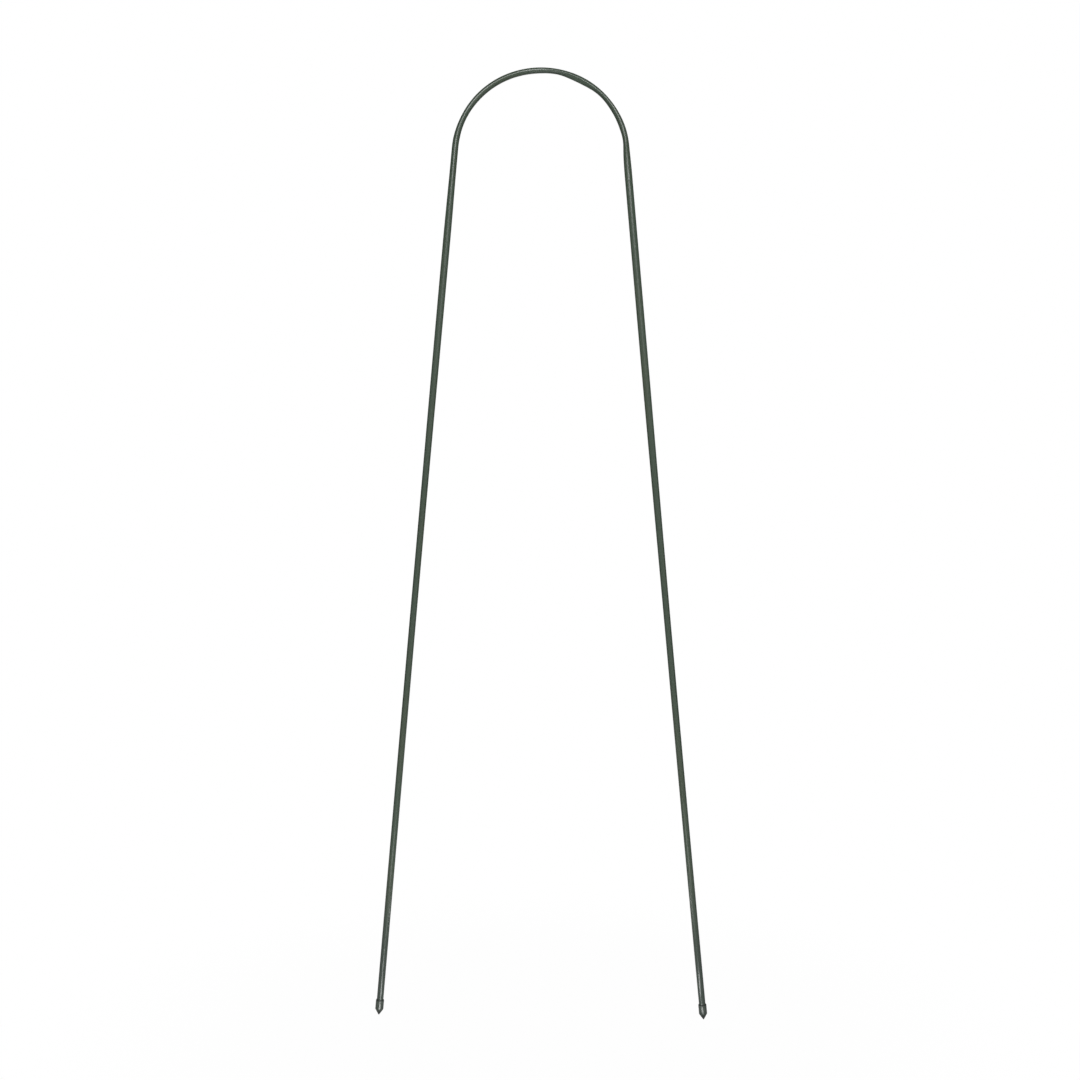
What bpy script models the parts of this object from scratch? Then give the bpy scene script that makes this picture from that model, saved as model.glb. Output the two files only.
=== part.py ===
"""Arched tomato support: one plastic-coated steel tube bent into a hoop, with a moulded spike on each leg.

The hoop lies in the XZ plane, with +X to the right, +Z up and the tube's middle at Y = 0. The origin is
on the ground under the middle of the arch, level with the spike of the longer leg.
"""

import math
from dataclasses import dataclass, replace

import bmesh
import bpy
from mathutils import Vector

# Tube and its coating
TUBE_DIAMETER = 0.0110
COATING_WALL = 0.0005
STEEL_WALL = 0.0004
TOUCHING_GAP = 0.0003

# Arch: the crown's arc passes into a tighter shoulder arc on each side, and that into a straight leg
CROWN_RADIUS = 0.1490
LEFT_SHOULDER_RADIUS = 0.1423
LEFT_SHOULDER_SWEEP = math.radians(62.6)
RIGHT_SHOULDER_RADIUS = 0.1316
RIGHT_SHOULDER_SWEEP = math.radians(42.7)

# Legs, measured along the tube from the foot of the shoulder arc to the spike's point
LEFT_LEG_LENGTH = 1.4619
LEFT_LEG_LEAN = math.radians(5.03)
LEFT_LEG_BOW = 0.0011
RIGHT_LEG_LENGTH = 1.4760
RIGHT_LEG_LEAN = math.radians(5.08)
RIGHT_LEG_BOW = -0.0014

# What the bending left: narrower across in the arch, wider across where the legs were clamped
ARCH_NARROWING = 0.0006
LEFT_CLAMP_SPREAD = 0.0014
RIGHT_CLAMP_SPREAD = 0.00185
BEND_EDGE_LENGTH = 0.036
CREASE_REACH = 0.0021

# Ground spikes
SPIKE_WALL = 0.0010
SPIKE_TIP_DIAMETER = 0.0015
SPIKE_HALF_ANGLE = math.radians(32)
SPIKE_SHOULDER_ROUND = 0.0015
SOCKET_FLOOR_THICKNESS = 0.0018
SOCKET_DEPTH = 0.0141
SPIKE_LIP_THICKNESS = 0.0003
SPIKE_LIP_HEIGHT = 0.0020

# Heights and radii of the spike that follow from those sizes, from its tip
SOCKET_RADIUS = TUBE_DIAMETER / 2 + TOUCHING_GAP
SPIKE_RADIUS = SOCKET_RADIUS + SPIKE_WALL
CONE_HEIGHT = (SPIKE_RADIUS - SPIKE_TIP_DIAMETER / 2) / math.tan(SPIKE_HALF_ANGLE)
SOCKET_FLOOR_HEIGHT = CONE_HEIGHT + SOCKET_FLOOR_THICKNESS
SPIKE_LENGTH = SOCKET_FLOOR_HEIGHT + SOCKET_DEPTH
TUBE_END_HEIGHT = SOCKET_FLOOR_HEIGHT + TOUCHING_GAP

# Fineness of the meshes
COATING_SIDES = 16
STEEL_SIDES = 12
SPIKE_SIDES = 24
SHOULDER_ROUND_STEPS = 3
LIP_STEPS = 3
ARCH_RING_SPACING = 0.008
UPPER_RING_SPACING = 0.060
LOWER_RING_SPACING = 0.120
SHARP_EDGE_ANGLE = math.radians(35)


@dataclass(frozen=True)
class Dent:
    """A stretch where bending moved the tube's wall, fading out over its reach to both sides."""

    place: float
    """Distance along the tube from the top of the arch to the dent's middle, positive to the right."""
    reach: float
    inner: float = 0.0
    """How far the wall on the inside of the arch moves away from the tube's middle."""
    outer: float = 0.0
    """How far the wall on the outside of the arch moves away from the tube's middle."""
    fold: float = 0.0
    """Share by which the half on the inside of the arch goes from round to a wedge with flat faces."""
    crease: float = 0.0
    """How far the middle of the front and of the back is pressed in."""


CROWN_FLATTENING = Dent(place=0.0, reach=0.220, inner=-0.00037, outer=-0.00037)
CROWN_CREASE = Dent(place=-0.0040, reach=0.060, crease=0.00028)
KINK = Dent(place=0.0668, reach=0.040, inner=0.00125, outer=0.00035)
KINK_FOLD = Dent(place=0.0520, reach=0.055, fold=0.5)
NECK_ABOVE_KINK = Dent(place=0.0250, reach=0.034, inner=-0.00095)
NECK_BELOW_KINK = Dent(place=0.1108, reach=0.036, inner=-0.00105)
RIGHT_OUTER_HOLLOW = Dent(place=0.1390, reach=0.050, outer=-0.00075)
RIGHT_NOTCH = Dent(place=0.2010, reach=0.026, inner=-0.00095)
LEFT_HOLLOW = Dent(place=-0.1570, reach=0.045, inner=-0.0003, outer=-0.0003)
DENTS = (
    CROWN_FLATTENING,
    CROWN_CREASE,
    KINK,
    KINK_FOLD,
    NECK_ABOVE_KINK,
    NECK_BELOW_KINK,
    RIGHT_OUTER_HOLLOW,
    RIGHT_NOTCH,
    LEFT_HOLLOW,
)


@dataclass(frozen=True)
class Section:
    """The tube across: half sizes of its oval, and how far bending folded and creased it."""

    inner: float
    outer: float
    depth: float
    fold: float
    crease: float

    def shrunk(self, amount):
        """The same section with its outline moved in by an amount."""
        return replace(self, inner=self.inner - amount, outer=self.outer - amount, depth=self.depth - amount)

    def point(self, angle):
        """Offsets of the wall outward and to the front, at an angle from the outward direction."""
        outward = math.cos(angle)
        forward = math.sin(angle)
        if outward < 0.0:
            wedge = math.copysign(1.0 + outward, forward)
            forward += (wedge - forward) * self.fold
            outward *= self.inner
        else:
            outward *= self.outer
        return outward, forward * (self.depth - self.crease * hump(outward, CREASE_REACH))


@dataclass(frozen=True)
class Leg:
    """One leg with its shoulder. Places along it are heights above the foot of the shoulder arc."""

    name: str
    side: int
    length: float
    lean: float
    bow: float
    """How far the middle of the leg stands out from a straight line."""
    shoulder_radius: float
    shoulder_sweep: float
    inner_bend_edge: float
    """Height at which the wall on the arch's inside starts to follow the bend."""
    outer_bend_edge: float
    """Height at which the wall on the arch's outside starts to follow the bend."""
    clamp_spread: float
    clamp_top: float
    clamp_full: float
    """Heights between which the clamp's widening grows to its full amount."""
    fade_top: float
    fade_end: float
    """Heights between which the widening fades out again."""

    @property
    def down(self):
        """Direction down the leg."""
        return Vector((self.side * math.sin(self.lean), 0.0, -math.cos(self.lean)))

    @property
    def outward(self):
        """Direction across the leg, away from the space under the arch."""
        return Vector((self.side * math.cos(self.lean), 0.0, math.sin(self.lean)))

    @property
    def shoulder_length(self):
        """Length of the shoulder arc."""
        return self.shoulder_radius * self.shoulder_sweep

    @property
    def arch_length(self):
        """Length of tube from the foot of the shoulder arc to the top of the arch."""
        crown_sweep = math.pi / 2 - self.lean - self.shoulder_sweep
        return self.shoulder_length + CROWN_RADIUS * crown_sweep

    def turned_outward(self, angle):
        """The outward direction once the tube has turned by an angle from the leg towards the top."""
        return self.outward * math.cos(angle) - self.down * math.sin(angle)

    def bowed_share(self, height):
        """0 at the foot of the shoulder and 1 from the spike's mouth down, where the tube is straight."""
        return min(-height / (self.length - SPIKE_LENGTH), 1.0)

    def place(self, height):
        """Middle of the tube and its outward direction, with the crown arc's centre as origin."""
        centre = self.turned_outward(self.shoulder_sweep) * (CROWN_RADIUS - self.shoulder_radius)
        if height <= 0.0:
            across = self.shoulder_radius + self.bow * math.sin(math.pi * self.bowed_share(height))
            return centre + self.outward * across - self.down * height, self.outward
        if height <= self.shoulder_length:
            outward = self.turned_outward(height / self.shoulder_radius)
            return centre + outward * self.shoulder_radius, outward
        past_shoulder = (height - self.shoulder_length) / CROWN_RADIUS
        outward = self.turned_outward(self.shoulder_sweep + past_shoulder)
        return outward * CROWN_RADIUS, outward

    def section(self, height):
        """The tube's section at a height, as the bending left it."""
        spread = self.clamp_spread * smooth_step(height, self.clamp_top, self.clamp_full)
        spread *= 1.0 - smooth_step(height, self.fade_top, self.fade_end)
        inner = outer = (TUBE_DIAMETER + spread) / 2
        inner -= ARCH_NARROWING / 2 * bend_share(height, self.inner_bend_edge)
        outer -= ARCH_NARROWING / 2 * bend_share(height, self.outer_bend_edge)
        fold = crease = 0.0
        from_top = self.side * (self.arch_length - height)
        for dent in DENTS:
            share = hump(from_top - dent.place, dent.reach)
            inner += dent.inner * share
            outer += dent.outer * share
            fold += dent.fold * share
            crease += dent.crease * share
        return Section(inner, outer, TUBE_DIAMETER - (inner + outer) / 2, fold, crease)

    def ring_heights(self, tube_end):
        """Heights of the tube's rings, from its end in the spike up to the top of the arch."""
        spike_mouth = SPIKE_LENGTH - self.length
        lower_leg = spaced(spike_mouth, self.fade_end, LOWER_RING_SPACING)
        upper_leg = spaced(self.fade_end, self.clamp_full, UPPER_RING_SPACING)
        arch = spaced(self.clamp_full, self.arch_length, ARCH_RING_SPACING)
        return [tube_end, *lower_leg[:-1], *upper_leg[:-1], *arch]


def smooth_step(value, start, end):
    """0 at the start, 1 at the end, with a smooth rise between them."""
    share = min(max((value - start) / (end - start), 0.0), 1.0)
    return share * share * (3.0 - 2.0 * share)


def bend_share(height, edge):
    """0 on the leg and 1 in the arch, changing over the length of the bend's edge."""
    return smooth_step(height, edge - BEND_EDGE_LENGTH / 2, edge + BEND_EDGE_LENGTH / 2)


def hump(distance, reach):
    """1 at no distance, falling smoothly to 0 at the reach."""
    share = min(abs(distance) / reach, 1.0)
    return (1.0 - share * share) ** 2


def spaced(start, end, spacing):
    """Evenly spaced values from start to end, at most one spacing apart."""
    count = max(math.ceil(abs(end - start) / spacing), 1)
    return [start + (end - start) * step / count for step in range(count + 1)]


LEFT_LEG = Leg(
    name="left",
    side=-1,
    length=LEFT_LEG_LENGTH,
    lean=LEFT_LEG_LEAN,
    bow=LEFT_LEG_BOW,
    shoulder_radius=LEFT_SHOULDER_RADIUS,
    shoulder_sweep=LEFT_SHOULDER_SWEEP,
    inner_bend_edge=0.029,
    outer_bend_edge=0.029,
    clamp_spread=LEFT_CLAMP_SPREAD,
    clamp_top=-0.026,
    clamp_full=-0.150,
    fade_top=-0.140,
    fade_end=-0.700,
)
RIGHT_LEG = Leg(
    name="right",
    side=1,
    length=RIGHT_LEG_LENGTH,
    lean=RIGHT_LEG_LEAN,
    bow=RIGHT_LEG_BOW,
    shoulder_radius=RIGHT_SHOULDER_RADIUS,
    shoulder_sweep=RIGHT_SHOULDER_SWEEP,
    inner_bend_edge=-0.018,
    outer_bend_edge=0.016,
    clamp_spread=RIGHT_CLAMP_SPREAD,
    clamp_top=0.016,
    clamp_full=-0.055,
    fade_top=-0.300,
    fade_end=-0.860,
)
LEGS = (LEFT_LEG, RIGHT_LEG)


def spike_point(leg):
    """The point of a leg's spike, with the crown arc's centre as origin."""
    return leg.place(-leg.length)[0]


def ring_of_points(leg, height, sides, inset):
    """The tube's section at a height, its outline moved in by the inset, as points around the tube."""
    middle, outward = leg.place(height)
    section = leg.section(height).shrunk(inset)
    front = Vector((0.0, -1.0, 0.0))
    points = []
    for step in range(sides):
        across, forward = section.point(2 * math.pi * step / sides)
        points.append(middle + outward * across + front * forward)
    return points


def rings_along_hoop(sides, inset):
    """Rings from the left spike over the arch to the right spike. Both legs share the ring at the top."""
    rings = []
    for leg in LEGS:
        heights = leg.ring_heights(TUBE_END_HEIGHT - leg.length)
        half = [ring_of_points(leg, height, sides, inset) for height in heights]
        if leg.side > 0:
            half = half[-2::-1]
        rings.extend(half)
    return rings


def add_object(name, mesh, material, parent, location, rotation):
    """Link a smooth-shaded object to the scene, under its parent."""
    mesh.shade_smooth()
    mesh.set_sharp_from_angle(angle=SHARP_EDGE_ANGLE)
    mesh.materials.append(material)
    item = bpy.data.objects.new(name, mesh)
    bpy.context.scene.collection.objects.link(item)
    item.parent = parent
    item.location = location
    item.rotation_euler = rotation
    return item


def tube_mesh(name, sides, inset, wall):
    """Mesh of an open-ended tube that follows the hoop, lofted through its rings."""
    skins = [rings_along_hoop(sides, inset), rings_along_hoop(sides, inset + wall)]
    shape = bmesh.new()
    outside, inside = ([[shape.verts.new(point) for point in ring] for ring in skin] for skin in skins)
    loop = [*outside, *reversed(inside)]
    for ring, following in zip(loop, [*loop[1:], loop[0]]):
        for step in range(sides):
            after = (step + 1) % sides
            shape.faces.new((ring[step], ring[after], following[after], following[step]))
    bmesh.ops.recalc_face_normals(shape, faces=shape.faces)
    return finished_mesh(name, shape)


def arc_points(centre, radii, start, end, steps):
    """Points (radius, height) on an elliptical arc, by the angle from the outward direction."""
    angles = (start + (end - start) * step / steps for step in range(steps + 1))
    return [(centre[0] + radii[0] * math.cos(turn), centre[1] + radii[1] * math.sin(turn)) for turn in angles]


def spike_profile():
    """Half outline (radius, height) of the spike, from its blunt tip over the lip to the socket's floor."""
    rounding = SPIKE_SHOULDER_ROUND
    round_centre = (SPIKE_RADIUS - rounding, CONE_HEIGHT + rounding * math.tan(SPIKE_HALF_ANGLE / 2))
    shoulder = arc_points(round_centre, (rounding, rounding), -SPIKE_HALF_ANGLE, 0.0, SHOULDER_ROUND_STEPS)
    lip_radius = SOCKET_RADIUS + SPIKE_LIP_THICKNESS
    lip_centre = (lip_radius, SPIKE_LENGTH - SPIKE_LIP_HEIGHT)
    lip = arc_points(lip_centre, (SPIKE_RADIUS - lip_radius, SPIKE_LIP_HEIGHT), 0.0, math.pi / 2, LIP_STEPS)
    tip = [(0.0, 0.0), (SPIKE_TIP_DIAMETER / 2, 0.0)]
    socket = [(SOCKET_RADIUS, SPIKE_LENGTH), (SOCKET_RADIUS, SOCKET_FLOOR_HEIGHT), (0.0, SOCKET_FLOOR_HEIGHT)]
    return [*tip, *shoulder, *lip, *socket]


def spike_mesh():
    """Mesh of a spike standing on its tip at the origin: its half outline spun round the leg's axis."""
    shape = bmesh.new()
    points = [shape.verts.new((radius, 0.0, height)) for radius, height in spike_profile()]
    edges = [shape.edges.new(pair) for pair in zip(points, points[1:])]
    bmesh.ops.spin(
        shape,
        geom=[*points, *edges],
        cent=(0.0, 0.0, 0.0),
        axis=(0.0, 0.0, 1.0),
        angle=2 * math.pi,
        steps=SPIKE_SIDES,
        use_merge=True,
    )
    bmesh.ops.remove_doubles(shape, verts=shape.verts, dist=1e-6)
    bmesh.ops.recalc_face_normals(shape, faces=shape.faces)
    return finished_mesh("ground_spike", shape)


def finished_mesh(name, shape):
    """Turn an edited shape into a mesh of that name."""
    mesh = bpy.data.meshes.new(name)
    shape.to_mesh(mesh)
    shape.free()
    return mesh


def plain_material(name, colour, roughness, metallic=0.0):
    """A Principled material of one colour."""
    material = bpy.data.materials.new(name)
    material.use_nodes = True
    surface = material.node_tree.nodes["Principled BSDF"]
    surface.inputs["Base Color"].default_value = (*colour, 1.0)
    surface.inputs["Roughness"].default_value = roughness
    surface.inputs["Metallic"].default_value = metallic
    return material


def build_support():
    """Build the hoop, its coating and the two spikes under one empty that stands on the ground."""
    crown_height = max(-spike_point(leg).z for leg in LEGS)
    support = bpy.data.objects.new("arched_tomato_support", None)
    bpy.context.scene.collection.objects.link(support)

    coating_green = plain_material("coating_green", (0.058, 0.079, 0.055), 0.45)
    steel = plain_material("steel", (0.42, 0.43, 0.44), 0.35, metallic=1.0)
    spike_green = plain_material("spike_green", (0.062, 0.076, 0.062), 0.38)

    crown_centre = (0.0, 0.0, crown_height)
    coating = tube_mesh("plastic_coating", COATING_SIDES, 0.0, COATING_WALL)
    add_object("plastic_coating", coating, coating_green, support, crown_centre, (0.0, 0.0, 0.0))
    tube = tube_mesh("steel_tube", STEEL_SIDES, COATING_WALL + TOUCHING_GAP, STEEL_WALL)
    add_object("steel_tube", tube, steel, support, crown_centre, (0.0, 0.0, 0.0))

    for leg in LEGS:
        foot = spike_point(leg) + Vector(crown_centre)
        turn = (0.0, -leg.side * leg.lean, 0.0)
        add_object(f"{leg.name}_ground_spike", spike_mesh(), spike_green, support, foot, turn)


def clear_scene():
    """Remove every object that the scene starts with."""
    for item in list(bpy.data.objects):
        bpy.data.objects.remove(item)


clear_scene()
build_support()
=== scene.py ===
"""Looks of the arched tomato support: a bent, plastic-coated tube with a moulded spike on each leg.

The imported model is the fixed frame. The coating and both spikes are modelled afresh over their nodes, the
steel tube inside keeps its node and gets its own finish, and the studio is set up as in the photograph.
"""

import logging
import math
from collections.abc import Iterable, Mapping
from dataclasses import dataclass, field
from enum import Enum

import bpy
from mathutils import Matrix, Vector


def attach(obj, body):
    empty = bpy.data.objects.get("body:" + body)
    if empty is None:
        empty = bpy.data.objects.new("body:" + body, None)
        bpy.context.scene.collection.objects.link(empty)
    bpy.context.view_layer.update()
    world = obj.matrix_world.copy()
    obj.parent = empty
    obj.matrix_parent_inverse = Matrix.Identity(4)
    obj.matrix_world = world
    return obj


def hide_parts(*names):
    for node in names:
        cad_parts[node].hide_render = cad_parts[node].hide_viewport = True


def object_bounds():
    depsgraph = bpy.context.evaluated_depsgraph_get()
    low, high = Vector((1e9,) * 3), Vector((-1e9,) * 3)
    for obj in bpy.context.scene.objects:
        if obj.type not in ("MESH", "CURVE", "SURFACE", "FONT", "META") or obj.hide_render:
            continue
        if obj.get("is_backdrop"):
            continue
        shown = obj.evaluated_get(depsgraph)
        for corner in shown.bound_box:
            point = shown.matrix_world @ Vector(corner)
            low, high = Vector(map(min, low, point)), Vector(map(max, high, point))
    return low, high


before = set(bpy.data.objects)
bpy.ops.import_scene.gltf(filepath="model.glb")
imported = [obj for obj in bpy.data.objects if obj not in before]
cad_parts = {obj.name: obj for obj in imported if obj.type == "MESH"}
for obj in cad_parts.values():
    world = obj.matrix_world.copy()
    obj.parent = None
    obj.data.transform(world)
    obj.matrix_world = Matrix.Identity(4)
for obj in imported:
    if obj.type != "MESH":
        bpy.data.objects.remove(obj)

LOG = logging.getLogger("arched_tomato_support")
Colour = tuple[float, float, float]
"""Shares of red, green and blue."""
Range = tuple[float, float]
"""The two values between which something changes."""
Segment = tuple[Vector, Vector, Vector, Vector]
"""A stretch of a curve: its start, the two handles between, and its end."""
WHITE = (1.0, 1.0, 1.0, 1.0)
MIX_COLOURS, MIX_RESULT = (6, 7), 2
"""Numbers of the Mix node's two inputs for colours, and of its output for one."""
SAME_PLACE = 1e-6
"""Distance in metres under which two points are one."""
HANDLE_REACH = 4.0 / 3.0
"""How far the handles of a curve's segment stand out, for each metre that it bulges."""


class Side(Enum):
    """A leg, by the way that it leans out."""

    LEFT = -1
    RIGHT = 1


class Slot(Enum):
    """Names of the material slots for the coating and the spikes. Nothing in this script reads them."""

    COATING = "coating"
    SPIKE = "spike"


def smooth_step(value: float, start: float, end: float) -> float:
    """Rise smoothly from 0 to 1.

    Args:
        value: Where to read the rise.
        start: Where it is 0.
        end: Where it is 1.

    Returns:
        The share of the rise, from 0 to 1.
    """
    share = min(max((value - start) / (end - start), 0.0), 1.0)
    return share * share * (3.0 - 2.0 * share)


def hump(distance: float, reach: float) -> float:
    """Fall smoothly from 1 at no distance to 0 at the reach."""
    share = min(abs(distance) / reach, 1.0)
    return (1.0 - share * share) ** 2


def spaced(start: float, end: float, spacing: float) -> list[float]:
    """Place evenly spaced values.

    Args:
        start: The first value.
        end: The last value.
        spacing: The widest step between two values.

    Returns:
        The values, first and last among them.
    """
    count = max(math.ceil(abs(end - start) / spacing), 1)
    return [*(start + (end - start) * step / count for step in range(count)), end]


def select_only(*items: bpy.types.Object) -> None:
    """Select these objects alone.

    Args:
        items: The objects, the first of which becomes the active one.
    """
    bpy.ops.object.select_all(action="DESELECT")
    for item in items:
        item.select_set(True)
    bpy.context.view_layer.objects.active = items[0]


def keep_places(item: bpy.types.Object, name: str) -> None:
    """Store where each point of a mesh is now, as an attribute that stays with it when it is moved.

    Args:
        item: The object.
        name: The attribute's name.
    """
    places = [0.0] * (3 * len(item.data.vertices))
    item.data.vertices.foreach_get("co", places)
    item.data.attributes.new(name, "FLOAT_VECTOR", "POINT").data.foreach_set("vector", places)


def apply_modifier(item: bpy.types.Object, kind: str, **settings: object) -> None:
    """Add one modifier and apply it.

    Args:
        item: The object, which gets selected.
        kind: The modifier's type.
        settings: The modifier's own settings.
    """
    select_only(item)
    modifier = item.modifiers.new(kind.lower(), kind)
    for name, value in settings.items():
        setattr(modifier, name, value)
    bpy.ops.object.modifier_apply(modifier=modifier.name)


class Socket:
    """One value in a node tree. Arithmetic on it adds Math nodes."""

    def __init__(self, tree: "NodeTree", output: bpy.types.NodeSocket) -> None:
        """Keep the tree and the output that the value comes from."""
        self.tree = tree
        self.output = output

    def _math(self, operation: str, *values: "Socket | float") -> "Socket":
        """Add a Math node with these values."""
        return self.tree.node("ShaderNodeMath", {"operation": operation}, dict(enumerate(values)))

    def __add__(self, other: "Socket | float") -> "Socket":
        """Add."""
        return self._math("ADD", self, other)

    __radd__ = __add__

    def __mul__(self, other: "Socket | float") -> "Socket":
        """Multiply."""
        return self._math("MULTIPLY", self, other)

    __rmul__ = __mul__

    def __sub__(self, other: "Socket | float") -> "Socket":
        """Subtract."""
        return self._math("SUBTRACT", self, other)

    def __rsub__(self, other: float) -> "Socket":
        """Subtract from a number."""
        return self._math("SUBTRACT", other, self)

    def distance_to(self, place: float) -> "Socket":
        """Distance from a number, without its sign."""
        return self._math("ABSOLUTE", self - place)

    def stepped(self, none: float, full: float) -> "Socket":
        """Change smoothly from 0 to 1.

        Args:
            none: Value that gives 0.
            full: Value that gives 1, which may be the lower one.

        Returns:
            The share of the change.
        """
        low, high = sorted((none, full))
        sockets = {"Value": self, "From Min": low, "From Max": high}
        ends = {"To Min": float(none > full), "To Max": float(none < full)}
        return self.tree.node("ShaderNodeMapRange", {"interpolation_type": "SMOOTHSTEP"}, sockets | ends)


@dataclass(frozen=True)
class Mottle:
    """A pattern of noise in a finish."""

    cells: tuple[float, float, float]
    """How many of its cells make a metre, along each axis."""
    octaves: float = 2.0
    octave_strength: float = 0.5
    """How much each octave adds, as a share of the one before."""


class NodeTree:
    """A node tree that a finish or the studio fills."""

    def __init__(self, tree: bpy.types.NodeTree) -> None:
        """Empty the tree for new nodes."""
        self.tree = tree
        tree.nodes.clear()

    def node(
        self,
        kind: str,
        settings: Mapping[str, object] | None = None,
        sockets: Mapping[str | int, object] | None = None,
        output: str | int = 0,
    ) -> Socket:
        """Add one node.

        Args:
            kind: The node's type.
            settings: Its own settings, which are set first.
            sockets: Values or links for its inputs, by name or number.
            output: The output to hand back.

        Returns:
            That output.
        """
        made = self.tree.nodes.new(kind)
        for name, value in (settings or {}).items():
            setattr(made, name, value)
        for name, value in (sockets or {}).items():
            if isinstance(value, Socket):
                self.tree.links.new(value.output, made.inputs[name])
            else:
                made.inputs[name].default_value = value
        return Socket(self, made.outputs[output])

    def show(self, kind: str, surface: Socket) -> None:
        """Link a shader to the tree's output.

        Args:
            kind: The output node's type.
            surface: The shader.
        """
        self.tree.links.new(surface.output, self.tree.nodes.new(kind).inputs["Surface"])

    def show_surface(self, sockets: Mapping[str | int, object]) -> None:
        """Show a Principled surface with these values and links."""
        self.show("ShaderNodeOutputMaterial", self.node("ShaderNodeBsdfPrincipled", {}, sockets))

    def noise(self, place: Socket, mottle: Mottle) -> Socket:
        """Noise from 0 to 1.

        Args:
            place: The coordinates that it is read at, in metres.
            mottle: Its pattern.

        Returns:
            The noise.
        """
        cells = self.node("ShaderNodeVectorMath", {"operation": "MULTIPLY"}, {0: place, 1: mottle.cells})
        pattern = {"Scale": 1.0, "Detail": mottle.octaves, "Roughness": mottle.octave_strength}
        return self.node("ShaderNodeTexNoise", {}, {"Vector": cells} | pattern)

    def mixed(self, first: "Socket | Colour", second: "Socket | Colour", factor: Socket) -> Socket:
        """Mix two colours.

        Args:
            first: The colour at factor 0.
            second: The colour at factor 1.
            factor: The share of the second.

        Returns:
            The mixed colour.
        """
        ends = [value if isinstance(value, Socket) else (*value, 1.0) for value in (first, second)]
        sockets = {0: factor} | dict(zip(MIX_COLOURS, ends))
        return self.node("ShaderNodeMix", {"data_type": "RGBA"}, sockets, MIX_RESULT)

    def bumped(self, height: Socket, distance: float, normal: Socket | None = None) -> Socket:
        """Tilt the normal by a height.

        Args:
            height: The height, from 0 to 1.
            distance: How high 1 is, in metres.
            normal: The normal to start from.

        Returns:
            The tilted normal.
        """
        start = {"Normal": normal} if normal else {}
        return self.node("ShaderNodeBump", {}, {"Height": height, "Distance": distance} | start)


def new_material(name: str) -> tuple[bpy.types.Material, NodeTree]:
    """Make a material.

    Args:
        name: The material's name.

    Returns:
        The material, and its empty tree to fill.
    """
    material = bpy.data.materials.new(name)
    material.use_nodes = True
    return material, NodeTree(material.node_tree)


@dataclass(frozen=True)
class ExtrudedCoating:
    """Dark green plastic drawn over a tube: satin, streaked lengthwise, and scuffed a little in handling."""

    green: Colour = (0.056, 0.080, 0.057)
    olive: Colour = (0.060, 0.080, 0.054)
    olive_patches: Range = (0.45, 0.70)
    """Noise of the patches over which the green turns olive."""
    scuffed: Colour = (0.105, 0.122, 0.100)
    scuffed_patches: Range = (0.30, 0.60)
    """Noise of the patches over which scuffs come to show."""
    scuff_edge: Range = (0.66, 0.76)
    """Noise of the scuffs over which one begins."""
    scuff_paleness: float = 0.5
    foot_shade: Colour = (0.039, 0.051, 0.042)
    # Painted shade: the coating darker and greyer near the ground.
    """The coating near the ground."""
    foot_shade_reach: Range = (0.05, 0.28)
    # Distances from the tube's end between which the painted shade turns back to green.
    """Distances from the tube's end between which it turns from greyed to green."""
    smooth: float = 0.15
    dull: float = 0.23
    dull_edge: Range = (0.35, 0.65)
    """Noise of the streaks and bands over which smooth turns dull."""
    streak_share: float = 0.5
    """Share of the dullness that the streaks bring. The bands bring the rest."""
    scuff_dullness: float = 0.10
    mark_dullness: float = 0.12
    mark_core: float = 0.3
    """Share of a clamp mark's width that is dull throughout."""
    refraction: float = 1.48
    streaks: Mottle = Mottle((14.0, 900.0, 900.0), 3.0, 0.6)
    bands: Mottle = Mottle((3.0, 160.0, 160.0))
    patches: Mottle = Mottle((7.0, 60.0, 60.0), 3.0)
    scuffs: Mottle = Mottle((60.0, 520.0, 520.0), 4.0, 0.7)
    grain: Mottle = Mottle((2600.0, 2600.0, 2600.0))
    streak_height: float = 0.000008
    grain_height: float = 0.0000015

    def made(
        self, attribute: str, length: float, clamp_marks: Iterable[float], mark_width: float
    ) -> bpy.types.Material:
        """Make the material.

        Args:
            attribute: The attribute with each point's place before the tube was bent.
            length: The tube's length.
            clamp_marks: Places along the tube where the bending clamp left its edge.
            mark_width: Half the width of such an edge.

        Returns:
            The material.
        """
        material, tree = new_material("coating_green")
        place = tree.node("ShaderNodeAttribute", {"attribute_name": attribute}, output="Vector")
        along = tree.node("ShaderNodeSeparateXYZ", {}, {0: place})
        streak = tree.noise(place, self.streaks)
        band = tree.noise(place, self.bands)
        patch = tree.noise(place, self.patches)
        scuff = tree.noise(place, self.scuffs).stepped(*self.scuff_edge)
        grain = tree.noise(place, self.grain)
        core_width = self.mark_core * mark_width
        marks = sum(along.distance_to(mark).stepped(mark_width, core_width) for mark in clamp_marks)

        colour = tree.mixed(self.green, self.olive, patch.stepped(*self.olive_patches))
        paleness = scuff * patch.stepped(*self.scuffed_patches) * self.scuff_paleness
        colour = tree.mixed(colour, self.scuffed, paleness)
        # Painted shade: the green turns darker and greyer towards both ends of the tube, near the ground.
        near, far = (length / 2 - reach for reach in self.foot_shade_reach)
        colour = tree.mixed(colour, self.foot_shade, along.distance_to(length / 2).stepped(far, near))

        dullness = streak.stepped(*self.dull_edge) * self.streak_share
        dullness = dullness + band.stepped(*self.dull_edge) * (1.0 - self.streak_share)
        roughness = dullness * (self.dull - self.smooth) + self.smooth
        roughness = roughness + scuff * self.scuff_dullness + marks * self.mark_dullness
        normal = tree.bumped(grain, self.grain_height, tree.bumped(streak, self.streak_height))
        surface = {"Base Color": colour, "Roughness": roughness, "Normal": normal, "IOR": self.refraction}
        tree.show_surface(surface)
        return material


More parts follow.
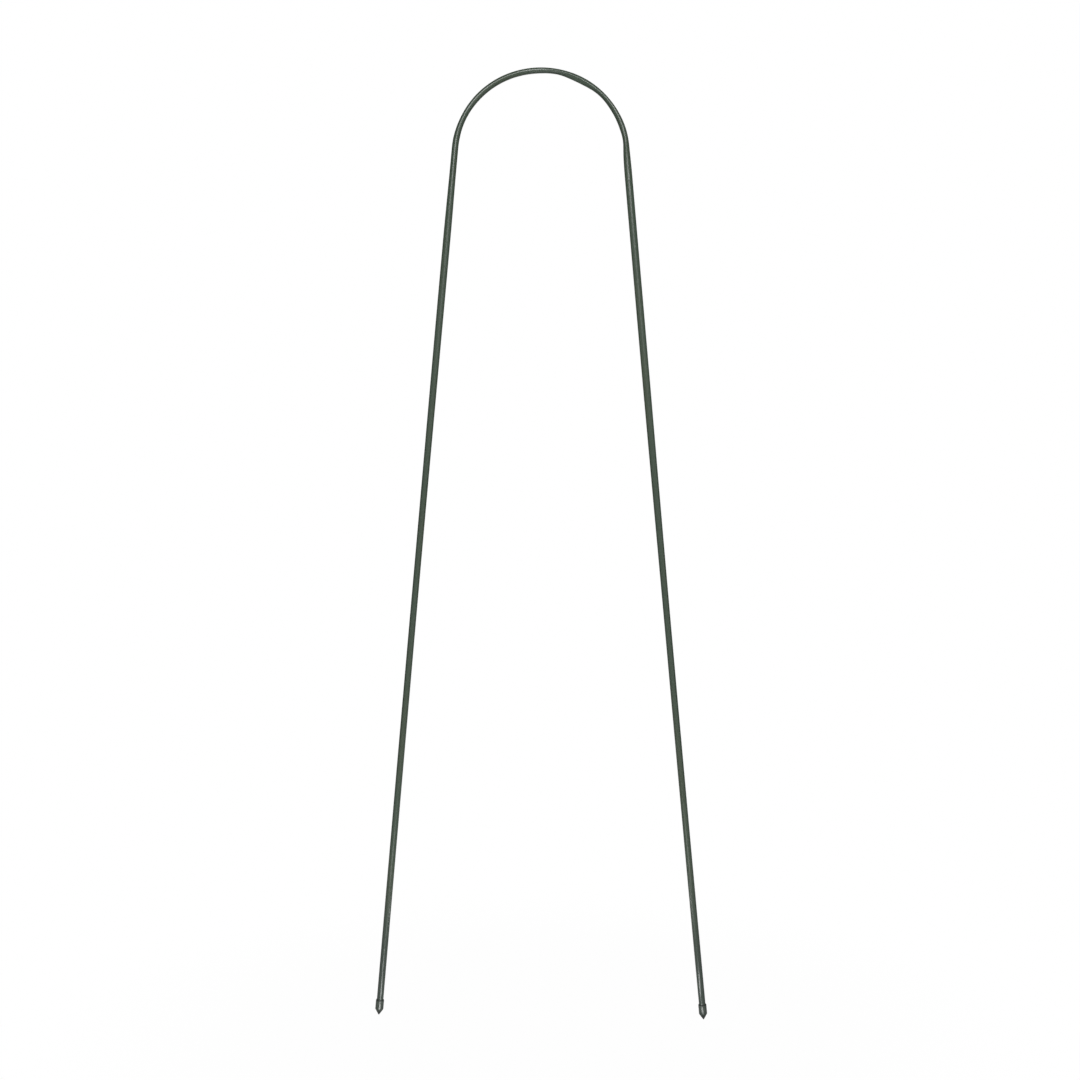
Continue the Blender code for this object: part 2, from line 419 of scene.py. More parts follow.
@dataclass(frozen=True)
class MouldedPlastic:
    """Dark green moulded plastic, glossier than the coating, rubbed lengthwise where it was pressed on."""

    green: Colour = (0.048, 0.060, 0.050)
    rubbed: Colour = (0.080, 0.092, 0.082)
    rubbed_edge: Range = (0.55, 0.80)
    """Noise of the rub marks over which they turn light."""
    rubbed_blotches: Range = (0.35, 0.60)
    """Noise of the blotches over which light rub marks come to show."""
    # Painted shade: a dark band under the lip, where the tube enters, and a darker point.
    painted_shade_colour: Colour = (0.014, 0.019, 0.016)
    lip_painted_shade: float = 0.9
    lip_painted_shade_reach: Range = (1.3, 0.5)
    # Where the painted shade under the lip ends and where it is full, in half heights of the lip.
    """Where the grime under the lip ends and where it is full, in half heights of the lip."""
    point_painted_shade: float = 0.6
    smooth: float = 0.16
    dull: float = 0.30
    dull_rub_marks: Range = (0.30, 0.70)
    dull_blotches: Range = (0.35, 0.65)
    rub_share: float = 0.6
    """Share of the dullness that the rub marks bring. The blotches bring the rest."""
    painted_shade_dullness: float = 0.35
    refraction: float = 1.5
    rub_marks: Mottle = Mottle((700.0, 700.0, 40.0), 3.0, 0.6)
    blotches: Mottle = Mottle((150.0, 150.0, 90.0), 3.0)
    grain: Mottle = Mottle((2400.0, 2400.0, 2400.0))
    rub_height: float = 0.00002
    grain_height: float = 0.000003

    def made(self, attribute: str, lip: Range, point: Range) -> bpy.types.Material:
        """Make the material.

        Args:
            attribute: The attribute with each point's place on the upright spike.
            lip: Heights between which shade is painted under the lip.
            point: Heights between which the shade painted on the downward-facing point fades out.

        Returns:
            The material.
        """
        material, tree = new_material("spike_green")
        place = tree.node("ShaderNodeAttribute", {"attribute_name": attribute}, output="Vector")
        rub = tree.noise(place, self.rub_marks)
        blotch = tree.noise(place, self.blotches)
        grain = tree.noise(place, self.grain)
        height = tree.node("ShaderNodeSeparateXYZ", {}, {0: place}, "Z")
        lip_middle, lip_half = sum(lip) / 2, (lip[1] - lip[0]) / 2
        none, full = (lip_half * reach for reach in self.lip_painted_shade_reach)
        # Painted shade: a dark band under the lip, and the point darker towards its tip.
        painted_shade = height.distance_to(lip_middle).stepped(none, full) * self.lip_painted_shade
        painted_shade = painted_shade + height.stepped(point[1], point[0]) * self.point_painted_shade

        lightness = rub.stepped(*self.rubbed_edge) * blotch.stepped(*self.rubbed_blotches)
        colour = tree.mixed(self.green, self.rubbed, lightness)
        colour = tree.mixed(colour, self.painted_shade_colour, painted_shade)

        dullness = rub.stepped(*self.dull_rub_marks) * self.rub_share
        dullness = dullness + blotch.stepped(*self.dull_blotches) * (1.0 - self.rub_share)
        roughness = dullness * (self.dull - self.smooth) + self.smooth + painted_shade * self.painted_shade_dullness
        normal = tree.bumped(grain, self.grain_height, tree.bumped(rub, self.rub_height))
        surface = {"Base Color": colour, "Roughness": roughness, "Normal": normal, "IOR": self.refraction}
        tree.show_surface(surface)
        return material


@dataclass(frozen=True)
class DrawnSteel:
    """Plain steel tube, drawn lengthwise, with its mill dullness."""

    bright: Colour = (0.46, 0.47, 0.48)
    dull: Colour = (0.36, 0.365, 0.37)
    dull_blotches: Range = (0.35, 0.65)
    roughness: float = 0.30
    roughness_spread: float = 0.16
    rough_grain: Range = (0.30, 0.70)
    grain: Mottle = Mottle((1200.0, 1200.0, 30.0), 3.0, 0.6)
    blotches: Mottle = Mottle((60.0, 60.0, 20.0), 3.0)
    grain_height: float = 0.00001

    def made(self) -> bpy.types.Material:
        """Make the material.

        Returns:
            The material, its grain drawn along the legs.
        """
        material, tree = new_material("drawn_steel")
        place = tree.node("ShaderNodeTexCoord", output="Object")
        grain = tree.noise(place, self.grain)
        blotch = tree.noise(place, self.blotches)
        colour = tree.mixed(self.bright, self.dull, blotch.stepped(*self.dull_blotches))
        roughness = grain.stepped(*self.rough_grain) * self.roughness_spread + self.roughness
        normal = tree.bumped(grain, self.grain_height)
        surface = {"Base Color": colour, "Metallic": 1.0, "Roughness": roughness, "Normal": normal}
        tree.show_surface(surface)
        return material


@dataclass(frozen=True)
class Dent:
    """A stretch where bending moved the tube's wall, fading out over its reach to both sides."""

    place: float
    """Distance along the tube from the top of the arch, positive to the right."""
    reach: float
    inner: float = 0.0
    """How far the wall on the inside of the arch moves away from the tube's middle."""
    outer: float = 0.0
    """How far the wall on the outside of the arch moves away from the tube's middle."""
    fold: float = 0.0
    """Share by which the half on the inside of the arch goes from round to a wedge with flat faces."""
    crease: float = 0.0
    """How far the middle of the front and of the back is pressed in."""


@dataclass(frozen=True)
class Section:
    """The tube across: half sizes of its oval, and how far bending folded and creased it."""

    inner: float
    outer: float
    depth: float
    fold: float = 0.0
    crease: float = 0.0
    crease_reach: float = 0.0021
    """How far the crease reaches to both sides of the tube's middle."""

    def point(self, angle: float) -> tuple[float, float]:
        """Find a point of the wall.

        Args:
            angle: Its angle from the outward direction.

        Returns:
            How far it is outward and to the front of the tube's middle.
        """
        outward, forward = math.cos(angle), math.sin(angle)
        if outward < 0.0:
            wedge = math.copysign(1.0 + outward, forward)
            forward += (wedge - forward) * self.fold
            outward *= self.inner
        else:
            outward *= self.outer
        pressed_in = self.crease * hump(outward, self.crease_reach)
        return outward, forward * (self.depth - pressed_in)


@dataclass(frozen=True)
class Leg:
    """One leg with its shoulder. Heights are measured along it from the foot of the shoulder arc."""

    side: Side
    length: float
    lean: float
    bow: float
    """How far its middle stands out from a straight line, away from the other leg."""
    shoulder_radius: float
    shoulder_sweep: float
    inner_bend_edge: float
    """Height of the middle of the stretch over which the inside of the bend gets narrower."""
    outer_bend_edge: float
    """The same on the outside of the bend."""
    clamp_spread: float
    """How much wider the clamp pressed the tube."""
    clamp_rise: Range
    """Heights between which the clamp's widening of the tube grows."""
    clamp_fade: Range
    """Heights between which it fades out again."""
    clamp_mark: float
    """Height of the clamp's edge."""

    @property
    def down(self) -> Vector:
        """Direction down the leg."""
        return Vector((self.side.value * math.sin(self.lean), 0.0, -math.cos(self.lean)))

    @property
    def outward(self) -> Vector:
        """Direction across the leg, away from the space under the arch."""
        return Vector((self.side.value * math.cos(self.lean), 0.0, math.sin(self.lean)))

    def arch_length(self, crown_radius: float) -> float:
        """Length of tube from the foot of the shoulder arc to the top of the arch."""
        crown_sweep = math.pi / 2 - self.lean - self.shoulder_sweep
        return self.shoulder_radius * self.shoulder_sweep + crown_radius * crown_sweep

    def turned(self, angle: float) -> Vector:
        """The outward direction once the tube has turned by an angle from the leg towards the top."""
        return self.outward * math.cos(angle) - self.down * math.sin(angle)

    def foot(self, crown_radius: float) -> Vector:
        """Foot of the shoulder arc, from the centre of the crown's arc."""
        centre = self.turned(self.shoulder_sweep) * (crown_radius - self.shoulder_radius)
        return centre + self.outward * self.shoulder_radius

    def arc(self, centre: Vector, radius: float, start: float, end: float) -> Segment:
        """Make one arc of the tube's path.

        Args:
            centre: The arc's centre.
            radius: Its radius.
            start: Angle from the leg at its lower end.
            end: Angle from the leg at its upper end.

        Returns:
            Its two ends, with the two handles between them.
        """
        reach = radius * HANDLE_REACH * math.tan((end - start) / 4.0)
        low, high = (centre + self.turned(angle) * radius for angle in (start, end))
        leaving, arriving = (self.turned(angle + math.pi / 2) * reach for angle in (start, end))
        return low, low + leaving, high - arriving, high


@dataclass
class CoatedTube:
    """The tube's plastic coating, modelled as a straight tube, pressed where bending presses it, and bent."""

    legs: tuple[Leg, Leg]
    dents: tuple[Dent, ...]
    crown_radius: float = 0.1490
    diameter: float = 0.0110
    wall: float = 0.0005
    arch_narrowing: float = 0.0006
    """How much narrower bending made the tube."""
    bend_edge_length: float = 0.036
    """Length of the stretch over which it gets so."""
    mark_depth: float = 0.00012
    mark_width: float = 0.0016
    """Half the width of the edge that the clamp left."""
    mark_rings: tuple[float, ...] = (-1.5, -0.75, 0.0, 0.75, 1.5)
    """Rings of points at that edge, in its half widths from its middle."""
    mark_clearance: float = 2.0
    """How far all other rings stay off its middle, in its half widths."""
    spike_length: float = 0.0256
    tube_end: float = 0.0118
    """Height of the tube's end above the spike's point."""
    sides: int = 32
    arch_spacing: float = 0.006
    """Widest step between two rings of points in the arch."""
    leg_spacing: float = 0.050
    """Widest step between two rings of points on the legs."""
    path_steps: int = 64
    """Straight steps in each segment of the bending path."""
    smooth_angle: float = math.radians(40)
    finish: ExtrudedCoating = field(default_factory=ExtrudedCoating)
    attribute: str = "before_bending"

    @property
    def crown_centre(self) -> Vector:
        """Centre of the crown's arc, with the lower spike's point at no height."""
        return Vector((0.0, 0.0, max(-self.point(leg).z for leg in self.legs)))

    @property
    def top(self) -> float:
        """Length of tube from its left end to the top of the arch."""
        return self.half_length(self.legs[0])

    @property
    def length(self) -> float:
        """Length of the whole tube."""
        return sum(self.half_length(leg) for leg in self.legs)

    def half_length(self, leg: Leg) -> float:
        """Length of tube from a leg's end to the top of the arch."""
        return leg.length - self.tube_end + leg.arch_length(self.crown_radius)

    def point(self, leg: Leg) -> Vector:
        """Point of a leg's spike, from the centre of the crown's arc."""
        return leg.foot(self.crown_radius) + leg.down * leg.length

    def leg_at(self, along: float) -> Leg:
        """The leg on whose side of the top a place along the tube is."""
        return self.legs[0] if along < self.top else self.legs[1]

    def section(self, along: float) -> Section:
        """Measure the tube across.

        Args:
            along: Distance from the left end.

        Returns:
            Its section there, as the bending left it.
        """
        leg = self.leg_at(along)
        height = leg.arch_length(self.crown_radius) - abs(along - self.top)
        spread = leg.clamp_spread * smooth_step(height, *leg.clamp_rise)
        spread *= 1.0 - smooth_step(height, *leg.clamp_fade)
        mark = self.mark_depth * hump(height - leg.clamp_mark, self.mark_width)
        halves = []
        for edge in (leg.inner_bend_edge, leg.outer_bend_edge):
            bend = smooth_step(height, edge - self.bend_edge_length / 2, edge + self.bend_edge_length / 2)
            halves.append((self.diameter + spread - self.arch_narrowing * bend) / 2 - mark)
        fold = crease = 0.0
        for dent in self.dents:
            share = hump(along - self.top - dent.place, dent.reach)
            halves[0] += dent.inner * share
            halves[1] += dent.outer * share
            fold += dent.fold * share
            crease += dent.crease * share
        return Section(*halves, self.diameter - sum(halves) / 2, fold, crease)

    def ring_places(self) -> list[float]:
        """Spread the tube's rings of points: close in the arch, wide apart on the legs.

        Returns:
            Their places along the tube, from its left end.
        """
        left, right = (leg.arch_length(self.crown_radius) - min(leg.clamp_rise) for leg in self.legs)
        start, end = self.top - left, self.top + right
        places = {*spaced(0.0, start, self.leg_spacing), *spaced(start, end, self.arch_spacing)}
        places.update(spaced(end, self.length, self.leg_spacing))
        for mark in self.clamp_marks():
            clearance = self.mark_clearance * self.mark_width
            places = {place for place in places if abs(place - mark) > clearance}
            places.update(mark + self.mark_width * share for share in self.mark_rings)
        return sorted(places)

    def clamp_marks(self) -> list[float]:
        """Places along the tube where the bending clamp left its edge."""
        reaches = [leg.arch_length(self.crown_radius) - leg.clamp_mark for leg in self.legs]
        return [self.top - reaches[0], self.top + reaches[1]]

    def straight_tube(self) -> bpy.types.Object:
        """Model the skin of the straight tube, with its arch's outside up.

        Returns:
            The skin, which starts at the origin and runs along X.
        """
        places = self.ring_places()
        bpy.ops.object.select_all(action="DESELECT")
        bpy.ops.mesh.primitive_circle_add(vertices=self.sides, radius=self.diameter / 2)
        tube = bpy.context.object
        tube.name = tube.data.name = "coated_tube"
        tube.rotation_euler = (0.0, math.pi / 2, 0.0)
        bpy.ops.object.transform_apply()
        bpy.ops.object.mode_set(mode="EDIT")
        for start, end in zip(places, places[1:]):
            step = Vector((end - start, 0.0, 0.0))
            bpy.ops.mesh.extrude_region_move(TRANSFORM_OT_translate={"value": step})
        bpy.ops.mesh.select_all(action="SELECT")
        bpy.ops.mesh.normals_make_consistent(inside=False)
        bpy.ops.object.mode_set(mode="OBJECT")
        self.press(tube)
        return tube

    def press(self, tube: bpy.types.Object) -> None:
        """Press the round wall of the straight tube to its section, place by place.

        Args:
            tube: The skin of the straight tube.
        """
        # Subdivision will draw each point a third of the way to the middle of its two neighbours.
        drawn = 1.0 / 3.0
        shrink = 1.0 - drawn + drawn * math.cos(2 * math.pi / self.sides)
        for vertex in tube.data.vertices:
            angle = math.atan2(-vertex.co.y, vertex.co.z)
            outward, forward = self.section(vertex.co.x).point(angle)
            vertex.co = Vector((vertex.co.x, -forward / shrink, outward / shrink))

    def path_segments(self, leg: Leg) -> list[Segment]:
        """Lay out the tube's path on one side.

        Args:
            leg: The leg.

        Returns:
            Its segments, from the tube's end in the spike up to the top of the arch.
        """
        crown = self.crown_centre
        foot = crown + leg.foot(self.crown_radius)
        mouth = foot + leg.down * (leg.length - self.spike_length)
        end = foot + leg.down * (leg.length - self.tube_end)
        sway = leg.outward * leg.bow * HANDLE_REACH
        shoulder_centre = crown + leg.turned(leg.shoulder_sweep) * (self.crown_radius - leg.shoulder_radius)
        return [
            (end, end.lerp(mouth, 1 / 3), end.lerp(mouth, 2 / 3), mouth),
            (mouth, mouth.lerp(foot, 1 / 3) + sway, mouth.lerp(foot, 2 / 3) + sway, foot),
            leg.arc(shoulder_centre, leg.shoulder_radius, 0.0, leg.shoulder_sweep),
            leg.arc(crown, self.crown_radius, leg.shoulder_sweep, math.pi / 2 - leg.lean),
        ]

    def bending_path(self) -> bpy.types.Object:
        """Draw the path that the tube is bent to: leg, shoulder, crown, shoulder and leg.

        Returns:
            The path as a curve.
        """
        up = self.path_segments(self.legs[0])
        down = [segment[::-1] for segment in reversed(self.path_segments(self.legs[1]))]
        segments = up + down
        bpy.ops.object.select_all(action="DESELECT")
        bpy.ops.curve.primitive_bezier_curve_add()
        path = bpy.context.object
        path.name = path.data.name = "bending_path"
        path.data.resolution_u = self.path_steps
        path.data.twist_mode = "MINIMUM"
        knots = path.data.splines[0].bezier_points
        knots.add(len(segments) + 1 - len(knots))
        for knot in knots:
            knot.handle_left_type = knot.handle_right_type = "FREE"
        first, last = segments[0], segments[-1]
        knots[0].co, knots[0].handle_left = first[0], first[0] * 2 - first[1]
        for knot, following, (_, leaving, arriving, end) in zip(knots[:-1], knots[1:], segments):
            knot.handle_right = leaving
            following.handle_left, following.co = arriving, end
        knots[-1].handle_right = last[3] * 2 - last[2]
        return path

    def build(self) -> bpy.types.Object:
        """Model the straight tube, give it its wall and bend it.

        Returns:
            The coating, in its place over its node.
        """
        tube = self.straight_tube()
        keep_places(tube, self.attribute)
        apply_modifier(tube, "SOLIDIFY", thickness=self.wall, offset=-1.0, use_even_offset=True)
        apply_modifier(tube, "SUBSURF", levels=1, render_levels=1)
        path = self.bending_path()
        apply_modifier(tube, "CURVE", object=path, deform_axis="POS_X")
        bpy.data.objects.remove(path)
        bpy.ops.object.shade_smooth_by_angle(angle=self.smooth_angle)
        return tube

    def dress(self, tube: bpy.types.Object) -> None:
        """Give the coating its finish."""
        material = self.finish.made(self.attribute, self.length, self.clamp_marks(), self.mark_width)
        tube.data.materials.append(material)


@dataclass
class GroundSpikes:
    """The two moulded spikes, one pressed over each end of the coated tube."""

    socket_radius: float = 0.0058
    wall: float = 0.00098
    tip_diameter: float = 0.0015
    tip_flat: float = 0.36
    """Radius of the tip's flat end, as a share of the tip's diameter."""
    tip_bevel: float = 0.00025
    """Height of the bevel round that flat end."""
    half_angle: float = math.radians(32)
    shoulder_round: float = 0.0015
    round_step: float = math.radians(6)
    """Widest turn between two rings of points on the shoulder."""
    floor_thickness: float = 0.0018
    socket_depth: float = 0.0141
    lip_thickness: float = 0.0003
    lip_height: float = 0.0020
    lip_step: float = math.radians(12)
    """Widest turn between two rings of points on the lip."""
    mouth_bevel: Range = (0.0001, 0.0002)
    """How far the mouth's inner edge is bevelled, across and down."""
    floor_inset: float = 0.5
    """How far in the ring on the socket's floor is, as a share of the floor's radius."""
    full_painted_shade: float = 0.4
    # Share of the cone's height up to which the painted shade on the point is full.
    """Share of the cone's height up to which the grime on the point is full."""
    sides: int = 64
    smooth_angle: float = math.radians(30)
    finish: MouldedPlastic = field(default_factory=MouldedPlastic)
    attribute: str = "on_upright_spike"

    @property
    def radius(self) -> float:
        """Radius of the sleeve."""
        return self.socket_radius + self.wall

    @property
    def cone_height(self) -> float:
        """Height at which the cone would meet the sleeve without its rounding."""
        return (self.radius - self.tip_diameter / 2) / math.tan(self.half_angle)

    @property
    def floor_height(self) -> float:
        """Height of the socket's floor."""
        return self.cone_height + self.floor_thickness

    @property
    def length(self) -> float:
        """Length of the whole spike."""
        return self.floor_height + self.socket_depth

    @property
    def lip_foot(self) -> float:
        """Height at which the lip begins to round in."""
        return self.length - self.lip_height

    def outline(self) -> list[tuple[float, float]]:
        """Draw half the spike's outline, from the blunt tip over the lip to the socket's floor.

        Returns:
            The radius and height of each of its points.
        """
        rounding = self.shoulder_round
        round_height = self.cone_height + rounding * math.tan(self.half_angle / 2)
        outline = [(self.tip_diameter * self.tip_flat, 0.0), (self.tip_diameter / 2, self.tip_bevel)]
        for angle in spaced(-self.half_angle, 0.0, self.round_step):
            across = self.radius - rounding + rounding * math.cos(angle)
            outline.append((across, round_height + rounding * math.sin(angle)))
        lip_radius = self.socket_radius + self.lip_thickness
        for angle in spaced(0.0, math.pi / 2, self.lip_step):
            across = lip_radius + (self.radius - lip_radius) * math.cos(angle)
            outline.append((across, self.lip_foot + self.lip_height * math.sin(angle)))
        bevel_across, bevel_down = self.mouth_bevel
        outline.append((self.socket_radius + bevel_across, self.length))
        outline.append((self.socket_radius, self.length - bevel_down))
        return [*outline, (self.socket_radius, self.floor_height)]

    def upright_spike(self) -> bpy.types.Object:
        """Model one spike standing on its tip at the origin.

        Returns:
            The spike.
        """
        outline = self.outline()
        bpy.ops.object.select_all(action="DESELECT")
        bpy.ops.mesh.primitive_circle_add(vertices=self.sides, radius=outline[0][0])
        spike = bpy.context.object
        bpy.ops.object.mode_set(mode="EDIT")
        bpy.ops.mesh.select_all(action="SELECT")
        bpy.ops.mesh.duplicate_move()
        for (radius, height), (wider, higher) in zip(outline, outline[1:]):
            rise = Vector((0.0, 0.0, higher - height))
            bpy.ops.mesh.extrude_region_move(TRANSFORM_OT_translate={"value": rise})
            growth = wider / radius
            bpy.ops.transform.resize(value=(growth, growth, 1.0), center_override=(0.0, 0.0, higher))
        bpy.ops.mesh.edge_face_add()
        bpy.ops.mesh.inset(thickness=self.socket_radius * self.floor_inset)
        bpy.ops.mesh.poke()
        bpy.ops.object.mode_set(mode="OBJECT")
        for vertex in spike.data.vertices:
            vertex.select = vertex.co.z < SAME_PLACE
        bpy.ops.object.mode_set(mode="EDIT")
        bpy.ops.mesh.remove_doubles(threshold=SAME_PLACE)
        bpy.ops.mesh.edge_face_add()
        bpy.ops.mesh.poke()
        bpy.ops.mesh.select_all(action="SELECT")
        bpy.ops.mesh.normals_make_consistent(inside=False)
        bpy.ops.object.mode_set(mode="OBJECT")
        bpy.ops.object.shade_smooth_by_angle(angle=self.smooth_angle)
        return spike

    def build(self, tube: CoatedTube) -> list[bpy.types.Object]:
        """Mould one spike and press a copy of it over each leg.

        Args:
            tube: The coated tube that carries them.

        Returns:
            The left and the right spike.
        """
        upright = self.upright_spike()
        keep_places(upright, self.attribute)
        spikes = []
        for leg in tube.legs:
            select_only(upright)
            bpy.ops.object.duplicate()
            spike = bpy.context.object
            spike.name = spike.data.name = f"{leg.side.name.lower()}_spike"
            spike.location = tube.crown_centre + tube.point(leg)
            spike.rotation_euler = (0.0, -leg.side.value * leg.lean, 0.0)
            bpy.ops.object.transform_apply()
            spikes.append(spike)
        bpy.data.objects.remove(upright)
        return spikes

    def dress(self, spikes: Iterable[bpy.types.Object]) -> None:
        """Give the spikes their finish.

        Args:
            spikes: The spikes, which share one material.
        """
        # Heights of the painted shade under the lip and on the point.
        lip = self.lip_foot, self.length
        point = self.full_painted_shade * self.cone_height, self.cone_height
        material = self.finish.made(self.attribute, lip, point)
        for spike in spikes:
            spike.data.materials.append(material)


@dataclass(frozen=True)
class SoftLight:
    """A softbox."""

    name: str
    place: Vector
    aim: Vector
    """The point that it is turned to."""
    width: float
    height: float
    power: float
    """Its power in watts."""

    @classmethod
    def facing_up(cls, name: str, place: Vector, width: float, height: float, power: float) -> "SoftLight":
        """Describe a light that lies near the ground and faces up."""
        return cls(name, place, place + Vector((0.0, 0.0, 1.0)), width, height, power)

    def hang(self) -> None:
        """Add the light, turned to what it is aimed at."""
        bpy.ops.object.light_add(type="AREA", location=self.place)
        lamp = bpy.context.object
        lamp.name = lamp.data.name = self.name
        lamp.rotation_euler = (self.aim - self.place).to_track_quat("-Z", "Y").to_euler()
        lamp.data.shape = "RECTANGLE"
        lamp.data.size, lamp.data.size_y = self.width, self.height
        lamp.data.energy = self.power
        lamp.visible_camera = False


@dataclass
class Studio:
    """The pale floor, the white surroundings, the softboxes and the camera."""

    camera_distance: float = 2.3
    camera_across: float = -0.0015
    camera_height: float = 0.8055
    photo_width: float = 1.8154
    """Width of the photograph's frame at the hoop."""
    sensor_width: float = 36.0
    """Width of the camera's sensor in millimetres."""
    floor_size: float = 14.0
    floor_drop: float = 0.0002
    """How far the floor lies under the lower spike's point."""
    floor_colour: Colour = (0.80, 0.80, 0.80)
    floor_tone: float = 0.97
    """Tone of the floor's darker blotches, as a share of its colour."""
    floor_blotches: Mottle = Mottle((3.0, 3.0, 3.0))
    floor_roughness: float = 0.9
    floor_white_near: float = 0.985
    """Share of white that the camera sees in the floor at the feet. It sees white alone further out."""
    floor_white_reach: Range = (0.35, 0.90)
    """Distances from the middle between which that share grows to all white."""
    room_light: float = 0.09
    """Strength of the light that comes from all sides."""
    lights: tuple[SoftLight, ...] = (
        SoftLight("upper_softbox", Vector((0.0, -3.4, 2.85)), Vector((0.0, 0.0, 2.85)), 2.25, 1.2, 66.0),
        SoftLight("left_high_softbox", Vector((-1.6, -3.4, 4.0)), Vector((0.0, 0.0, 1.5)), 1.4, 1.2, 20.0),
        SoftLight("right_high_softbox", Vector((1.7, -3.4, 4.0)), Vector((0.0, 0.0, 1.5)), 1.4, 1.2, 33.0),
        SoftLight("right_softbox", Vector((0.67, -3.4, 1.8)), Vector((0.67, 0.0, 1.8)), 0.9, 0.5, 3.0),
        SoftLight("front_fill", Vector((0.0, -3.0, 1.0)), Vector((0.0, 0.0, 0.9)), 3.0, 2.0, 8.0),
        SoftLight("left_fill", Vector((-2.2, -2.2, 1.0)), Vector((0.0, 0.0, 0.9)), 1.2, 2.0, 4.0),
        SoftLight("right_fill", Vector((2.2, -2.2, 1.0)), Vector((0.0, 0.0, 0.9)), 1.2, 2.0, 6.0),
        SoftLight("back_fill", Vector((0.0, 3.2, 1.4)), Vector((0.0, 0.0, 0.9)), 2.0, 2.4, 20.0),
        SoftLight.facing_up("far_ground_panel", Vector((-0.1, -1.0, 0.01)), 0.7, 0.4, 3.0),
        SoftLight.facing_up("near_ground_panel", Vector((-0.04, -0.42, 0.01)), 0.3, 0.16, 0.36),
        SoftLight.facing_up("left_foot_panel", Vector((-0.235, -0.21, 0.006)), 0.06, 0.26, 0.46),
        SoftLight.facing_up("right_foot_panel", Vector((0.2, -0.14, 0.006)), 0.06, 0.14, 0.32),
        SoftLight.facing_up("left_spike_panel", Vector((-0.262, -0.058, 0.003)), 0.03, 0.03, 0.043),
        SoftLight.facing_up("right_spike_panel", Vector((0.261, -0.048, 0.003)), 0.03, 0.04, 0.029),
    )

    @staticmethod
    def white_for_camera(
        tree: NodeTree, shader: Socket, white: Socket, share: "Socket | float" = 1.0
    ) -> Socket:
        """Mix white into a shader where the camera sees it, without lighting the hoop by it.

        Reflections don't show the white either: it would lighten the tube's edges, and no metal shows.

        Args:
            tree: The tree that both are in.
            shader: The shader that lights the hoop.
            white: A white light of strength 1.
            share: The share of white in what is seen.

        Returns:
            The mixed shader.
        """
        seen = tree.node("ShaderNodeLightPath", output="Is Camera Ray")
        return tree.node("ShaderNodeMixShader", {}, {0: seen * share, 1: shader, 2: white})

    def lay_floor(self) -> bpy.types.Object:
        """Lay the pale floor under the lower spike.

        Returns:
            The floor.
        """
        low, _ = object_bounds()
        bpy.ops.object.select_all(action="DESELECT")
        height = low.z - self.floor_drop
        bpy.ops.mesh.primitive_plane_add(size=self.floor_size, location=(0.0, 0.0, height))
        floor = bpy.context.object
        floor.name = floor.data.name = "floor"
        bpy.ops.object.transform_apply()
        material, tree = new_material("pale_floor")
        place = tree.node("ShaderNodeTexCoord", output="Object")
        away = tree.node("ShaderNodeVectorMath", {"operation": "LENGTH"}, {0: place}, "Value")
        share = away.stepped(*self.floor_white_reach) * (1.0 - self.floor_white_near) + self.floor_white_near
        darker = tuple(self.floor_tone * part for part in self.floor_colour)
        colour = tree.mixed(self.floor_colour, darker, tree.noise(place, self.floor_blotches))
        sockets = {"Base Color": colour, "Roughness": self.floor_roughness}
        lit = tree.node("ShaderNodeBsdfPrincipled", {}, sockets)
        white = tree.node("ShaderNodeEmission", {}, {"Strength": 1.0})
        tree.show("ShaderNodeOutputMaterial", self.white_for_camera(tree, lit, white, share))
        floor.data.materials.append(material)
        floor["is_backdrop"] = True
        return floor

    def light(self) -> None:
        """Hang the softboxes and set the room's own light."""
        world = bpy.data.worlds.new("studio")
        world.use_nodes = True
        tree = NodeTree(world.node_tree)
        room = tree.node("ShaderNodeBackground", {}, {"Color": WHITE, "Strength": self.room_light})
        white = tree.node("ShaderNodeBackground", {}, {"Color": WHITE, "Strength": 1.0})
        tree.show("ShaderNodeOutputWorld", self.white_for_camera(tree, room, white))
        bpy.context.scene.world = world
        for lamp in self.lights:
            lamp.hang()

    def set_camera(self) -> None:
        """Stand the camera level with the middle of the hoop, as in the photograph."""
        place = (self.camera_across, -self.camera_distance, self.camera_height)
        bpy.ops.object.camera_add(location=place, rotation=(math.pi / 2, 0.0, 0.0))
        camera = bpy.context.object
        camera.name = camera.data.name = "camera"
        camera.data.sensor_width = self.sensor_width
        camera.data.lens = camera.data.sensor_width * self.camera_distance / self.photo_width
        bpy.context.scene.camera = camera
        bpy.context.scene.view_settings.view_transform = "Standard"


def finish_piece(piece: bpy.types.Object, node: str) -> None:
    """Let a new piece stand for its node.

    Args:
        piece: The piece, in its place.
        node: The node.
    """
    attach(piece, "root")
    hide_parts(node)
    LOG.info("%s: %d faces, stands for %s", piece.name, len(piece.data.polygons), node)


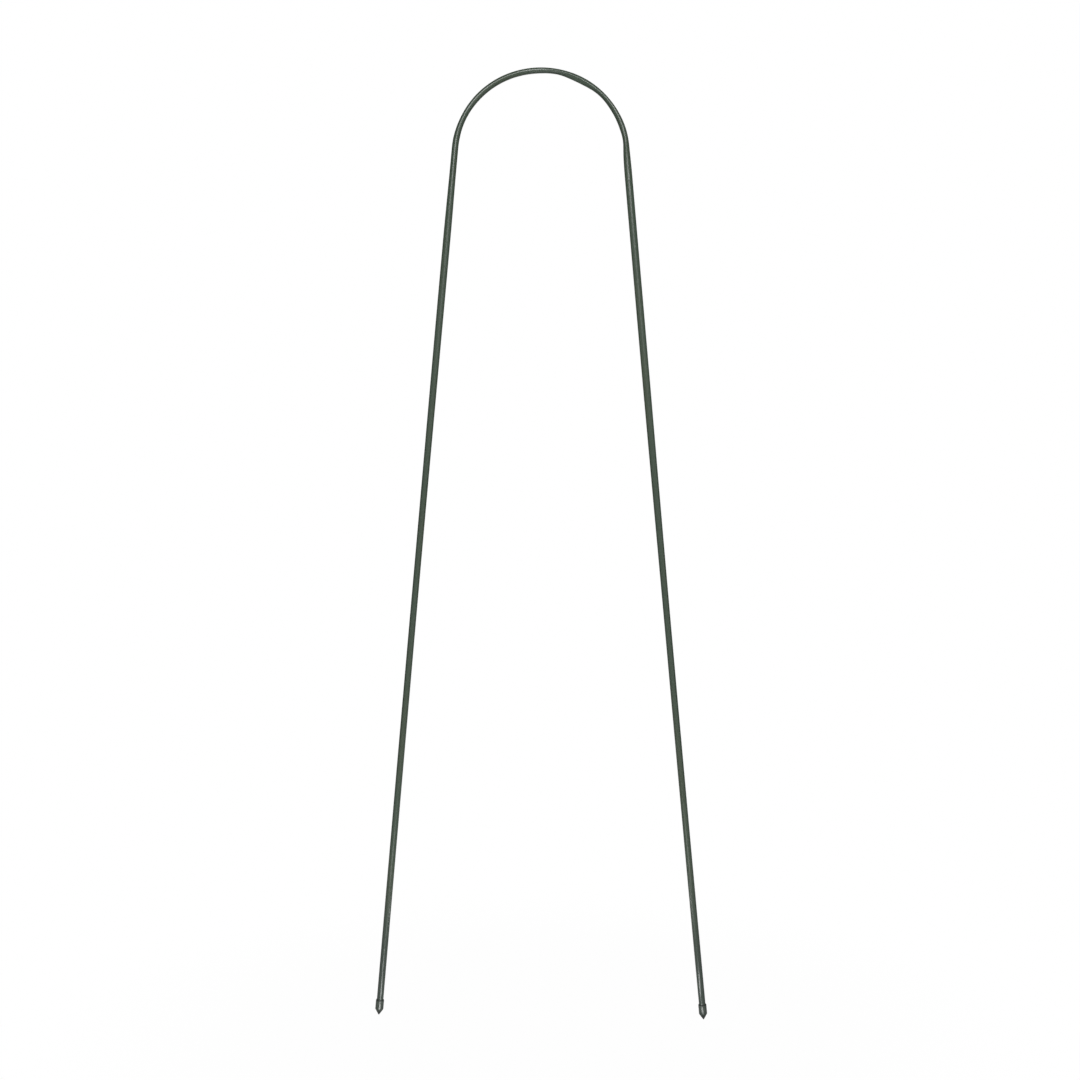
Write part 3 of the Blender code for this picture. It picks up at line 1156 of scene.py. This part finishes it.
LEFT_LEG = Leg(
    side=Side.LEFT,
    length=1.4619,
    lean=math.radians(5.03),
    bow=0.0011,
    shoulder_radius=0.1423,
    shoulder_sweep=math.radians(62.6),
    inner_bend_edge=0.029,
    outer_bend_edge=0.029,
    clamp_spread=0.0014,
    clamp_rise=(-0.026, -0.150),
    clamp_fade=(-0.140, -0.700),
    clamp_mark=-0.053,
)
RIGHT_LEG = Leg(
    side=Side.RIGHT,
    length=1.4760,
    lean=math.radians(5.08),
    bow=-0.0014,
    shoulder_radius=0.1316,
    shoulder_sweep=math.radians(42.7),
    inner_bend_edge=-0.018,
    outer_bend_edge=0.016,
    clamp_spread=0.00185,
    clamp_rise=(0.016, -0.055),
    clamp_fade=(-0.300, -0.860),
    clamp_mark=-0.061,
)
CROWN_FLATTENING = Dent(place=0.0, reach=0.220, inner=-0.00037, outer=-0.00037)
CROWN_CREASE = Dent(place=-0.0040, reach=0.060, crease=0.00028)
KINK = Dent(place=0.0668, reach=0.040, inner=0.00125, outer=0.00035)
KINK_FOLD = Dent(place=0.0520, reach=0.055, fold=0.5)
NECK_ABOVE_KINK = Dent(place=0.0250, reach=0.034, inner=-0.00095)
NECK_BELOW_KINK = Dent(place=0.1108, reach=0.036, inner=-0.00105)
RIGHT_OUTER_HOLLOW = Dent(place=0.1390, reach=0.050, outer=-0.00075)
RIGHT_NOTCH = Dent(place=0.2010, reach=0.026, inner=-0.00095)
LEFT_HOLLOW = Dent(place=-0.1570, reach=0.045, inner=-0.0003, outer=-0.0003)
DENTS = (
    CROWN_FLATTENING,
    CROWN_CREASE,
    KINK,
    KINK_FOLD,
    NECK_ABOVE_KINK,
    NECK_BELOW_KINK,
    RIGHT_OUTER_HOLLOW,
    RIGHT_NOTCH,
    LEFT_HOLLOW,
)


def main() -> None:
    """Build and dress the pieces in order, then set up the studio."""
    logging.basicConfig(level=logging.INFO, format="%(name)s: %(message)s")
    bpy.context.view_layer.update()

    coated_tube = CoatedTube(legs=(LEFT_LEG, RIGHT_LEG), dents=DENTS)
    tube = coated_tube.build()
    coated_tube.dress(tube)
    finish_piece(tube, "plastic_coating")

    ground_spikes = GroundSpikes()
    spikes = ground_spikes.build(coated_tube)
    ground_spikes.dress(spikes)
    for spike, node in zip(spikes, ("left_ground_spike", "right_ground_spike")):
        finish_piece(spike, node)

    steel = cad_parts["steel_tube"]
    steel.material_slots[0].material = DrawnSteel().made()
    LOG.info("steel_tube: kept as packed, with a drawn steel finish")

    studio = Studio()
    studio.lay_floor()
    studio.light()
    studio.set_camera()
    LOG.info("studio: floor, %d softboxes and camera", len(studio.lights))


if __name__ == "__main__":
    main()
